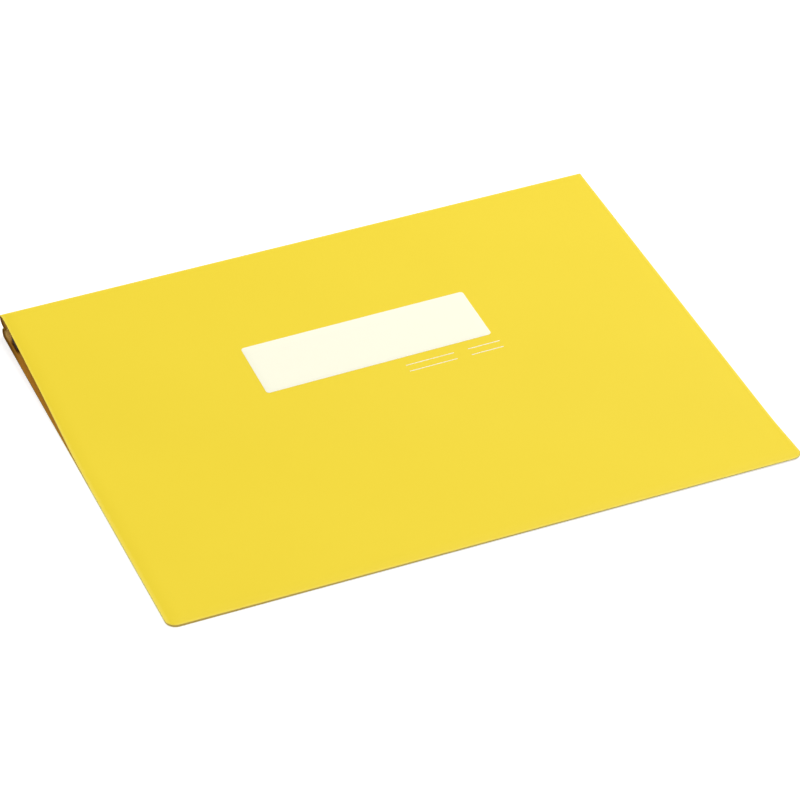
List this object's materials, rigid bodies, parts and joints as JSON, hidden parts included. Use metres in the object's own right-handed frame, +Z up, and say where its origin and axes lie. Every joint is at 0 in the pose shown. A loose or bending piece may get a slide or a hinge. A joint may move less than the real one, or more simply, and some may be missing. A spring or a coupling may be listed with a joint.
{
  "type": "data file binder",
  "caption": "Wide board binder with a Z-folded expanding spine, two posts, a press bar with sliding locks, and a blank title label on the front cover.",
  "frame": {"origin": "on the underside of the rear cover, in the middle of the binder's outline", "axes": "+X runs along the spine towards the binder's right end, +Y points to the spine, +Z is up from the surface the rear cover lies on"},
  "size_m": [0.4016, 0.31, 0.0183],
  "materials": {
    "cover_board": "satin",
    "label_paper": "matte",
    "plated_steel": "satin",
    "rivet_steel": "satin",
    "post_nylon": "satin",
    "slide_plastic": "satin"
  },
  "bodies": {
    "rear": {"rear_cover": "cover_board", "base_strip": "plated_steel", "base_rivet_1": "rivet_steel", "base_rivet_2": "rivet_steel", "base_rivet_3": "rivet_steel", "base_rivet_4": "rivet_steel", "base_rivet_5": "rivet_steel", "base_rivet_6": "rivet_steel", "left_post": "post_nylon", "right_post": "post_nylon"},
    "spine": {"spine_panel": "cover_board"},
    "gusset": {"gusset_panel": "cover_board"},
    "crease": {"crease_strip": "cover_board"},
    "front": {"front_cover": "cover_board", "title_label": "label_paper"},
    "press": {"press_bar": "plated_steel", "left_end_cap": "slide_plastic", "right_end_cap": "slide_plastic"},
    "left_lock": {"left_lock_slide": "slide_plastic"},
    "right_lock": {"right_lock_slide": "slide_plastic"}
  },
  "joints": [
    {"name": "cover_rise", "type": "slide", "parent": "rear", "child": "crease", "axis": [0, 0, 1], "range_m": [0, 0.005]},
    {"name": "spine_fold", "type": "hinge", "parent": "rear", "child": "spine", "pos_m": [0, 0.153, 0.00035], "axis": [-1, 0, 0], "range_deg": [0, 17.9]},
    {"name": "crease_fold", "type": "hinge", "parent": "crease", "child": "gusset", "pos_m": [0, 0.15465, 0.0138], "axis": [0.9999, 0, 0.0112], "range_deg": [0, 21.4]},
    {"name": "front_cover_hinge", "type": "hinge", "parent": "crease", "child": "front", "pos_m": [0, 0.15465, 0.0158], "axis": [-0.9999, 0, -0.0112], "range_deg": [0, 184.5]},
    {"name": "press_bar_lift", "type": "slide", "parent": "rear", "child": "press", "axis": [0, 0, 1], "range_m": [0, 0.004]},
    {"name": "left_lock_slide_travel", "type": "slide", "parent": "press", "child": "left_lock", "axis": [1, 0, 0], "range_m": [0, 0.006]},
    {"name": "right_lock_slide_travel", "type": "slide", "parent": "press", "child": "right_lock", "axis": [-1, 0, 0], "range_m": [0, 0.006]}
  ],
  "couplings": [
    {"joint": "spine_fold", "follows": "cover_rise", "rad_per_m": 62.4},
    {"joint": "crease_fold", "follows": "cover_rise", "rad_per_m": 74.6}
  ]
}
